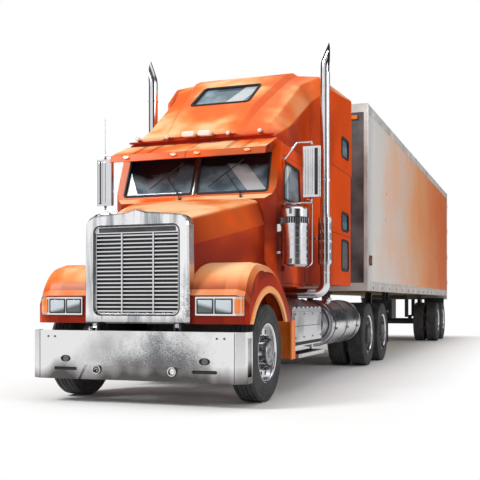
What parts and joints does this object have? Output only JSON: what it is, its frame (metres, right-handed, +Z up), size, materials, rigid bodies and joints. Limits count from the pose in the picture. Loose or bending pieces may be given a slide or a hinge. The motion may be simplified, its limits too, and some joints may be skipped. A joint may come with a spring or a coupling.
{
  "type": "articulated truck with box semitrailer",
  "caption": "Long-nosed highway tractor with a raised-roof sleeper, pivoted to a box semitrailer, with steered front wheels, tilting hood, cab doors and rear cargo doors.",
  "frame": {"origin": "on the ground, midway between the bumper face and the rearmost point, on the centre plane", "axes": "-Y towards the front bumper, +X towards the truck's left side, +Z up"},
  "size_m": [2.974, 17.91, 4.48],
  "materials": {
    "paint": "gloss orange",
    "chrome": "polished, grimed",
    "polished": "polished",
    "rim": "polished forged",
    "chassis": "satin black",
    "iron": "as cast",
    "glass": "clear, lightly tinted",
    "trim": "matte",
    "lamp": "clear lens in a dark bezel",
    "amber_lamp": "amber lens",
    "tyre": "matte",
    "trailer_skin": "white with orange fade",
    "trailer_rail": "satin",
    "floor": "worn boards"
  },
  "bodies": {
    "tractor": {"frame_rails": "chassis", "front_axle": "iron", "engine": "iron", "bumper": "chrome", "cab_shell": "paint", "cab_glass": "glass", "sleeper_shell": "paint", "roof_fairing": "paint", "sun_visor": "paint", "cab_interior": "trim", "air_cleaners": "chrome", "exhaust_stacks": "chrome", "fuel_tanks": "polished", "step_boxes": "polished", "side_skirts": "paint", "fifth_wheel": "iron", "drive_axles": "iron", "cab_lamps": "amber_lamp"},
    "hood": {"hood_shell": "paint", "grille_surround": "chrome", "grille_bars": "chrome", "headlamps": "lamp"},
    "cab_door_left": {"door_left": "paint", "door_glass_left": "glass", "mirror_left": "chrome"},
    "cab_door_right": {"door_right": "paint", "door_glass_right": "glass", "mirror_right": "chrome"},
    "steer_left": {"knuckle_left": "iron"},
    "steer_right": {"knuckle_right": "iron"},
    "trailer": {"trailer_sides": "trailer_skin", "trailer_front": "trailer_skin", "trailer_roof": "trailer_skin", "trailer_floor": "floor", "trailer_frame": "trailer_rail", "trailer_bogie": "chassis", "landing_gear": "chassis", "trailer_lamps": "amber_lamp"},
    "cargo_left": {"cargo_door_left": "trailer_skin"},
    "cargo_right": {"cargo_door_right": "trailer_skin"},
    "wheel_front_left": {"tyre_front_left": "tyre", "rim_front_left": "rim"},
    "wheel_front_right": {"tyre_front_right": "tyre", "rim_front_right": "rim"},
    "wheel_drive_1_left": {"tyre_drive_1_left": "tyre", "rim_drive_1_left": "rim"},
    "wheel_drive_1_right": {"tyre_drive_1_right": "tyre", "rim_drive_1_right": "rim"},
    "wheel_drive_2_left": {"tyre_drive_2_left": "tyre", "rim_drive_2_left": "rim"},
    "wheel_drive_2_right": {"tyre_drive_2_right": "tyre", "rim_drive_2_right": "rim"},
    "wheel_trailer_1_left": {"tyre_trailer_1_left": "tyre", "rim_trailer_1_left": "rim"},
    "wheel_trailer_1_right": {"tyre_trailer_1_right": "tyre", "rim_trailer_1_right": "rim"},
    "wheel_trailer_2_left": {"tyre_trailer_2_left": "tyre", "rim_trailer_2_left": "rim"},
    "wheel_trailer_2_right": {"tyre_trailer_2_right": "tyre", "rim_trailer_2_right": "rim"}
  },
  "joints": [
    {"name": "hood_tilt", "type": "hinge", "parent": "tractor", "child": "hood", "pos_m": [0, -8.88, 0.812], "axis": [1, 0, 0], "range_deg": [0, 75]},
    {"name": "cab_door_left_swing", "type": "hinge", "parent": "tractor", "child": "cab_door_left", "pos_m": [1.049, -7.112, 2.05], "axis": [0, 0, -1], "range_deg": [0, 70]},
    {"name": "cab_door_right_swing", "type": "hinge", "parent": "tractor", "child": "cab_door_right", "pos_m": [-1.049, -7.112, 2.05], "axis": [0, 0, 1], "range_deg": [0, 70]},
    {"name": "steer_left_turn", "type": "hinge", "parent": "tractor", "child": "steer_left", "pos_m": [0.9, -8.155, 0.52], "axis": [0, 0, 1], "range_deg": [-35, 35]},
    {"name": "steer_right_turn", "type": "hinge", "parent": "tractor", "child": "steer_right", "pos_m": [-0.9, -8.155, 0.52], "axis": [0, 0, 1], "range_deg": [-35, 35]},
    {"name": "front_left_spin", "type": "hinge", "parent": "steer_left", "child": "wheel_front_left", "pos_m": [1.06, -8.155, 0.52], "axis": [1, 0, 0], "continuous": true},
    {"name": "front_right_spin", "type": "hinge", "parent": "steer_right", "child": "wheel_front_right", "pos_m": [-1.06, -8.155, 0.52], "axis": [1, 0, 0], "continuous": true},
    {"name": "drive_1_left_spin", "type": "hinge", "parent": "tractor", "child": "wheel_drive_1_left", "pos_m": [0.91, -2.715, 0.52], "axis": [1, 0, 0], "continuous": true},
    {"name": "drive_1_right_spin", "type": "hinge", "parent": "tractor", "child": "wheel_drive_1_right", "pos_m": [-0.91, -2.715, 0.52], "axis": [1, 0, 0], "continuous": true},
    {"name": "drive_2_left_spin", "type": "hinge", "parent": "tractor", "child": "wheel_drive_2_left", "pos_m": [0.91, -1.395, 0.52], "axis": [1, 0, 0], "continuous": true},
    {"name": "drive_2_right_spin", "type": "hinge", "parent": "tractor", "child": "wheel_drive_2_right", "pos_m": [-0.91, -1.395, 0.52], "axis": [1, 0, 0], "continuous": true},
    {"name": "trailer_turn", "type": "hinge", "parent": "tractor", "child": "trailer", "pos_m": [0, -2.355, 1.24], "axis": [0, 0, 1], "range_deg": [-90, 90]},
    {"name": "trailer_1_left_spin", "type": "hinge", "parent": "trailer", "child": "wheel_trailer_1_left", "pos_m": [0.98, 6.675, 0.52], "axis": [1, 0, 0], "continuous": true},
    {"name": "trailer_1_right_spin", "type": "hinge", "parent": "trailer", "child": "wheel_trailer_1_right", "pos_m": [-0.98, 6.675, 0.52], "axis": [1, 0, 0], "continuous": true},
    {"name": "trailer_2_left_spin", "type": "hinge", "parent": "trailer", "child": "wheel_trailer_2_left", "pos_m": [0.98, 7.925, 0.52], "axis": [1, 0, 0], "continuous": true},
    {"name": "trailer_2_right_spin", "type": "hinge", "parent": "trailer", "child": "wheel_trailer_2_right", "pos_m": [-0.98, 7.925, 0.52], "axis": [1, 0, 0], "continuous": true},
    {"name": "cargo_door_left_swing", "type": "hinge", "parent": "trailer", "child": "cargo_left", "pos_m": [1.29, 8.94, 2.75], "axis": [0, 0, -1], "range_deg": [0, 240]},
    {"name": "cargo_door_right_swing", "type": "hinge", "parent": "trailer", "child": "cargo_right", "pos_m": [-1.29, 8.94, 2.75], "axis": [0, 0, 1], "range_deg": [0, 240]}
  ],
  "couplings": [
    {"joint": "steer_right_turn", "follows": "steer_left_turn", "ratio": 1}
  ]
}
